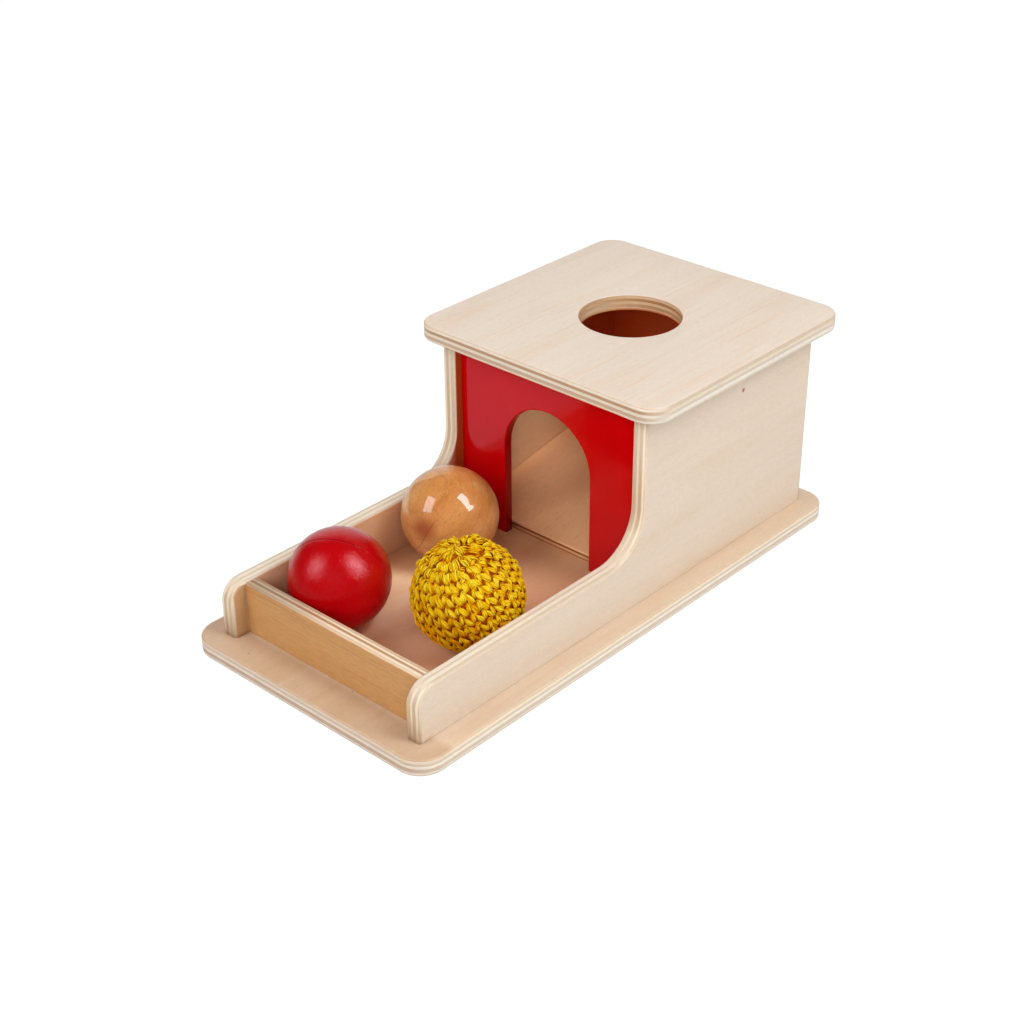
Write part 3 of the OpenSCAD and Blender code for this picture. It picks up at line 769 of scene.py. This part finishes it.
crochet_centre, crochet_r = centre_and_r("crochet_cover")
round_count = len(STITCHES_PER_ROUND)
round_pitch = math.pi * crochet_r / (round_count - 0.5)
pole = np.array(CROCHET_POLE) / np.linalg.norm(CROCHET_POLE)
pole_east = np.cross(Y, pole)
pole_east /= np.linalg.norm(pole_east)
pole_north = np.cross(pole, pole_east)


def on_ball(longitude, up, out):
    """Place on the ball at a longitude (radians), an arc up from the lower pole and a height out
    from the nominal surface (metres)."""
    a = up / crochet_r - math.pi / 2
    r = crochet_r + out
    flat = r * np.cos(a)
    return (crochet_centre + (flat * np.cos(longitude))[..., None] * pole_east
            + (flat * np.sin(longitude))[..., None] * pole_north + (r * np.sin(a))[..., None] * pole)


random = np.random.default_rng(11)
round_of = np.repeat(np.arange(round_count), STITCHES_PER_ROUND)
stitches_in = np.array(STITCHES_PER_ROUND)[round_of]
stitch_of = np.concatenate([np.arange(n) for n in STITCHES_PER_ROUND])
stitch_count = len(round_of)
longitude = (stitch_of - ROUND_LAG * round_of) * 2 * math.pi / stitches_in
foot_up = (round_of + FIRST_FOOT_UP + stitch_of / stitches_in) * round_pitch
foot_up[round_of == round_count - 1] = (round_count - 1) * round_pitch
middle_up = foot_up + LEAF_MIDDLE_UP * round_pitch
girth = np.maximum(np.cos(middle_up / crochet_r - math.pi / 2), LEAST_GIRTH)
stitch_w = 2 * math.pi * crochet_r * girth / stitches_in
# Evenness is lost from the first of those rounds to the last but one
loosened = np.clip((round_of - (round_count - UNEVEN_ROUNDS)) / (UNEVEN_ROUNDS - 2), 0, 1)
looseness = 1 + MORE_UNEVEN * loosened
outward = on_ball(longitude, middle_up, 0 * longitude) - crochet_centre
outward /= np.linalg.norm(outward, axis=1, keepdims=True)
pulled = -CLOSING_SINKS * (round_of == round_count - 1)
for loop in LOOSE_LOOPS:
    angle = np.arccos(np.clip(outward @ np.array(loop) / np.linalg.norm(loop), -1, 1))
    pulled = pulled + LOOP_PULL * np.exp(-((angle / LOOP_ANGLE) ** 2))


# Angles of a thread's corners, one of them on its crest
round_thread = math.pi / 6 + np.linspace(0, 2 * math.pi, THREAD_SIDES, endpoint=False)


def thread(foot_across, foot_rise, head_across, head_rise, side, breadth, bow, depth, thick):
    """One thread of every stitch's leaf, as a tapered tube; all measures in metres. Along it s goes
    from 0 to 1 and swell is sin pi s. The centreline runs straight from foot to head, is moved sideways
    by side * breadth * (swell^0.75 + 0.25 (1 - 2 s)), and bows out by bow * swell^0.42 *
    (1 - 0.22 side^2) from depth under the surface; the radius is thick * swell^0.25, and outwards
    that times the thread's flatness."""
    s = np.linspace(0, 1, THREAD_RINGS)[None, :, None]
    t = round_thread[None, None, :]
    foot_across, foot_rise, head_across, head_rise, breadth, bow, thick = (
        value[:, None, None]
        for value in (foot_across, foot_rise, head_across, head_rise, breadth, bow, thick)
    )
    run, rise = head_across - foot_across, head_rise - foot_rise
    length = np.hypot(run, rise)
    swell = np.sin(math.pi * np.clip(s, 0.01, 0.99))
    r = thick * swell ** 0.25
    aside = side * breadth * swell ** 0.75 + 0.25 * breadth * (1 - 2 * s) * side + r * np.cos(t)
    across_m = foot_across + run * s - aside * rise / length
    up_total = foot_up[:, None, None] + foot_rise + rise * s + aside * run / length
    out_m = bow * swell ** 0.42 * (1 - 0.22 * side ** 2) + THREAD_FLATNESS * r * np.sin(t) - depth
    thread_girth = np.maximum(np.cos(up_total / crochet_r - math.pi / 2), LEAST_THREAD_GIRTH) * crochet_r
    return on_ball(longitude[:, None, None] + across_m / thread_girth, up_total, out_m)


# Painted shade across each thread: how light each corner is painted, 1 on its crest, and less
# on its flanks and underside
LEAST_PAINTED_LIGHT = 0.2
painted_lightness = np.maximum(LEAST_PAINTED_LIGHT, 2 * np.sin(round_thread) - 1)
thread_sets = []
tone_and_shade_sets = []
for foot_x, foot_y, head_x, head_y, breadth, bow, depth, thread_count in LEAVES:
    shift = random.normal(0, LEAF_STRAY, (5, stitch_count)) * looseness
    spread = breadth * MM * random.normal(1, BREADTH_STRAY, stitch_count) * (1 + BROADER * (looseness - 1))
    for side in np.linspace(-1, 1, thread_count):
        move = shift + random.normal(0, THREAD_STRAY, (5, stitch_count)) * looseness
        thick = THREAD_R * random.normal(1, RADIUS_STRAY, stitch_count)
        thread_sets.append(thread(foot_x * stitch_w + move[0], foot_y * round_pitch + move[1],
                                  head_x * stitch_w + move[2], head_y * round_pitch + move[3],
                                  side, spread, bow * MM + move[4] + pulled, depth * MM, thick))
        # Each thread's random tone, plus its painted shade across it
        crest = random.normal(0, TONE_STRAY, (stitch_count, 1, 1)) + painted_lightness
        tone_and_shade_sets.append(crest + np.zeros((stitch_count, THREAD_RINGS, THREAD_SIDES)))

thread_points = np.concatenate(thread_sets)
thread_starts = (np.arange(len(thread_points)) * THREAD_RINGS * THREAD_SIDES)[:, None, None]
thread_quads = grid_quads(THREAD_RINGS, THREAD_SIDES).reshape(-1, 4)[None] + thread_starts
first_ring = np.arange(THREAD_SIDES - 1, -1, -1)
last_ring = (THREAD_RINGS - 1) * THREAD_SIDES + np.arange(THREAD_SIDES)
thread_caps = [tuple(ring + start) for start in thread_starts.ravel() for ring in (first_ring, last_ring)]
yarn_piece = new_piece("crocheted_cotton_ball", thread_points, thread_quads, thread_caps, smooth_caps=True)
tone_and_shade_values = np.concatenate(tone_and_shade_sets).ravel().astype(np.float32)
yarn_piece.data.attributes.new("thread_tone_and_shade", "FLOAT", "POINT").data.foreach_set("value", tone_and_shade_values)

yarn_material, add = new_material("mercerised yellow cotton yarn")
at = add("TexCoord").outputs["Object"]
# Painted shade: the yarn is painted paler on the crests of the threads and red-brown down
# between the stitches, the deeper the darker
from_middle = add("VectorMath", {0: at, 1: crochet_centre}, operation="DISTANCE")
fibre = add("TexNoise", {"Vector": at, "Scale": 1 / (0.6 * MM), "Detail": 3.0})
level = add("MapRange", {"Value": from_middle.outputs["Value"], "From Min": crochet_r - 2.3 * MM,
                         "From Max": crochet_r + 0.2 * MM, "To Max": 0.6})
crest = add("Attribute", attribute_name="thread_tone_and_shade")
level = add("Math", {0: crest.outputs["Fac"], 1: 0.42, 2: level}, operation="MULTIPLY_ADD")
level = add("Math", {0: fibre, 1: 0.1, 2: level}, operation="MULTIPLY_ADD")
# Painted shade: the colour darkens towards the underside
height = add("SeparateXYZ", {0: at}).outputs[2]
painted_underside_shade = add("MapRange", {"Value": height, "From Min": crochet_centre[2] - 0.8 * crochet_r,
                          "From Max": crochet_centre[2] + 0.5 * crochet_r, "To Min": -0.14,
                          "To Max": 0.03})
level = add("Math", {0: level, 1: painted_underside_shade})
colour = add("ValToRGB", {0: level}, stops=[
    (0.06, "#B23800"), (0.34, "#D66C00"), (0.6, "#DE9400"), (0.82, "#E8B400"), (1.0, "#F8D232"),
])
bump = add("Bump", {"Strength": 0.3, "Distance": 0.05 * MM, "Height": fibre})
# Light goes half a millimetre into the yarn, which softens the shade between the threads
shader = add("BsdfPrincipled", {"Base Color": colour, "Roughness": 0.5, "Specular IOR Level": 0.2,
                                "Specular Tint": "#FFD048", "Normal": bump, "Subsurface Weight": 0.7,
                                "Subsurface Radius": (1.0, 0.9, 0.4), "Subsurface Scale": 0.5 * MM})
add("OutputMaterial", {0: shader})
finish(yarn_piece, yarn_material, "crochet_ball", "crochet_cover")

# Under the strands a shell stands for the yarn beneath them, dark red-brown as painted shade,
# so nothing of the filling shows
under_r = crochet_r - FABRIC_T
core_piece = globe("crochet_under_yarn", crochet_centre, lambda a: np.full_like(a, under_r), CROCHET_POLE)
core_piece.data.materials.append(
    mottled("cotton yarn under the stitches, dark as painted shade", (0.8, 0.8, 0.8), 2.0, "#8C3000", "#B45E00",
            {"Roughness": 0.8, "Specular IOR Level": 0.1})
)
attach(core_piece, "crochet_ball")

# The stuffing is carded wool, in soft tufts of 2 mm
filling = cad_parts["crochet_filling"].data.materials
filling.clear()
filling.append(mottled("carded wool filling", (2, 2, 2), 4.0, "#E4DCCB", "#F5F1E8", {"Roughness": 0.95}))


# Studio. A white table and a white sheet behind it, one tall soft box at the right and one
# paler at the front left, both a little cool, in a dim room with warm walls, so that the
# shadows are warm and a white thing in the open is white.
FLOOR_DROP = 0.2 * MM
FLOOR_REACH = 12.0
BACKDROP_AWAY = 2.6
BACKDROP_H = 2.4
BACKDROP_HALF_W = 2.2
WHITE = (1.0, 1.0, 1.0, 1.0)
PAPER_GREY = (0.65, 0.65, 0.65, 1.0)
# The paper is part glow, at the strength that the camera sees as white, and part matt grey, which
# takes the shadow
PAPER_GLOW = 1.18
PAPER_GLOW_SHARE = 0.8
# The room's warm light, its strength from the front and from the back, and as mirrored in gloss
ROOM_COLOUR = (1.0, 0.8, 0.62, 1.0)
ROOM_FRONT = 0.19
ROOM_BACK = 0.56
ROOM_BACK_TOWARDS = (-0.4, 0.75, 0.5)
ROOM_MIRRORED = 0.03
LAMP_COLOUR = (0.85, 0.93, 1.0)

floor_corners = rectangle((-FLOOR_REACH, -FLOOR_REACH), (FLOOR_REACH, FLOOR_REACH))
floor_points = np.array([(x, y, -FLOOR_DROP) for x, y in floor_corners])
floor = new_piece("white_table", floor_points, np.array([[0, 1, 2, 3]]))


def white_paper(name, in_gloss, in_gloss_before):
    """Matt paper that looks white to the camera and glows in reflections at the strength in_gloss,
    or in_gloss_before in front of the object."""
    paper, add = new_material(name)
    rays = add("LightPath").outputs
    seen = add("Math", {0: rays["Is Camera Ray"], 1: rays["Is Glossy Ray"]}, operation="MAXIMUM")
    seen = add("Math", {0: seen, 1: rays["Is Transmission Ray"]}, operation="MAXIMUM")
    share = add("Math", {0: seen, 1: PAPER_GLOW_SHARE}, operation="MULTIPLY")
    matt = add("BsdfDiffuse", {"Color": PAPER_GREY})
    place = add("SeparateXYZ", {0: add("TexCoord").outputs["Object"]})
    mirrored = add("MapRange", {"Value": place.outputs[1], "From Min": -180 * MM, "From Max": -120 * MM,
                                "To Min": in_gloss_before, "To Max": in_gloss})
    glow = add("MapRange", {"Value": rays["Is Camera Ray"], "To Min": mirrored, "To Max": PAPER_GLOW})
    white = add("Emission", {"Color": WHITE, "Strength": glow})
    add("OutputMaterial", {0: add("MixShader", {0: share, 1: matt, 2: white})})
    return paper


floor.data.materials.append(white_paper("matt white table", 0.95, 0.05))

behind = np.array([-0.6, 0.8, 0.0])
sideways = np.array([0.8, 0.6, 0.0])
sheet_points = np.array([
    BACKDROP_AWAY * behind + side * BACKDROP_HALF_W * sideways + height * Z
    for side, height in ((-1, 0), (1, 0), (1, BACKDROP_H), (-1, BACKDROP_H))
])
backdrop = new_piece("white_backdrop", sheet_points, np.array([[0, 1, 2, 3]]))
backdrop.data.materials.append(white_paper("matt white paper", 1.0, 1.0))

world = bpy.data.worlds.new("dim studio")
bpy.context.scene.world = world
world.use_nodes = True
world.node_tree.nodes.clear()
add = functools.partial(add_node, world.node_tree)
rays = add("LightPath").outputs
looking = add("TexCoord").outputs["Generated"]
towards_back = add("VectorMath", {0: looking, 1: ROOM_BACK_TOWARDS},
                   operation="DOT_PRODUCT").outputs["Value"]
brightness = add("MapRange", {"Value": towards_back, "From Min": -1.0, "To Min": ROOM_FRONT,
                              "To Max": ROOM_BACK})
room = add("Background", {"Color": ROOM_COLOUR, "Strength": brightness})
dim = add("Background", {"Color": WHITE, "Strength": ROOM_MIRRORED})
plain = add("Background", {"Color": WHITE, "Strength": 1.0})
for_gloss = add("MixShader", {0: rays["Is Glossy Ray"], 1: room, 2: dim})
add("OutputWorld", {0: add("MixShader", {0: rays["Is Camera Ray"], 1: for_gloss, 2: plain})})


def soft_box(name, seen_from, towards, away, across, width_share, height_share, watts):
    """A rectangular lamp that stands away from a point in the direction towards, facing it."""
    towards = np.array(towards) / np.linalg.norm(towards)
    across = np.array(across) - np.dot(across, towards) * towards
    across /= np.linalg.norm(across)
    lamp = bpy.data.lights.new(name, "AREA")
    lamp.shape = "RECTANGLE"
    lamp.size, lamp.size_y = width_share * away, height_share * away
    lamp.energy = watts
    lamp.color = LAMP_COLOUR
    holder = bpy.data.objects.new(name, lamp)
    turn = np.stack([across, np.cross(towards, across), towards], 1)
    place = np.eye(4)
    place[:3, :3], place[:3, 3] = turn, np.array(seen_from) + away * towards
    holder.matrix_world = Matrix(place)
    holder.visible_camera = False
    bpy.context.scene.collection.objects.link(holder)
    return holder


soft_box("soft_box_right", seen_from=(-0.015, -0.028, 0.048), towards=(0.671, 0.17, 0.721), away=1.4,
         across=(-0.064, 0.29, 0.01), width_share=0.30, height_share=0.73, watts=11.7)
soft_box("soft_box_front", seen_from=(-0.027, -0.040, 0.048), towards=(-0.308, -0.73, 0.61), away=1.4,
         across=(0.37, -0.06, 0.115), width_share=0.39, height_share=0.59, watts=6.1)
# A white card by the camera throws light into the tray and the doorway, too broad to show as a shine
card = soft_box("card_by_camera", seen_from=(0.0, 0.02, 0.03), towards=(0.46, -0.74, 0.46), away=1.55,
                across=(0.85, 0.52, 0.0), width_share=0.7, height_share=0.5, watts=11.0)
card.visible_glossy = False


# Camera. Its place in metres, its turns in radians and its lens are those of the photograph,
# worked out from the box's own corners.
FRAME_PX = 1024
FOCAL_PX = 1779.3
SENSOR_MM = 36
CAMERA_AT = (0.494435, -0.550751, 0.467262)
CAMERA_YAW = 0.742287
CAMERA_PITCH = 0.526901
CAMERA_ROLL = -0.007745

forward = np.array([-math.sin(CAMERA_YAW) * math.cos(CAMERA_PITCH),
                    math.cos(CAMERA_YAW) * math.cos(CAMERA_PITCH), -math.sin(CAMERA_PITCH)])
level_right = np.array([math.cos(CAMERA_YAW), math.sin(CAMERA_YAW), 0.0])
level_up = np.cross(level_right, forward)
camera_right = level_right * math.cos(CAMERA_ROLL) + level_up * math.sin(CAMERA_ROLL)
camera_up = level_up * math.cos(CAMERA_ROLL) - level_right * math.sin(CAMERA_ROLL)
camera_data = bpy.data.cameras.new("photo_camera")
camera_data.sensor_width = SENSOR_MM
camera_data.lens = SENSOR_MM * FOCAL_PX / FRAME_PX
camera = bpy.data.objects.new("photo_camera", camera_data)
camera_place = np.eye(4)
camera_place[:3] = np.stack([camera_right, camera_up, -forward, CAMERA_AT], 1)
camera.matrix_world = Matrix(camera_place)
bpy.context.scene.collection.objects.link(camera)
bpy.context.scene.camera = camera
bpy.context.scene.view_settings.view_transform = "Standard"
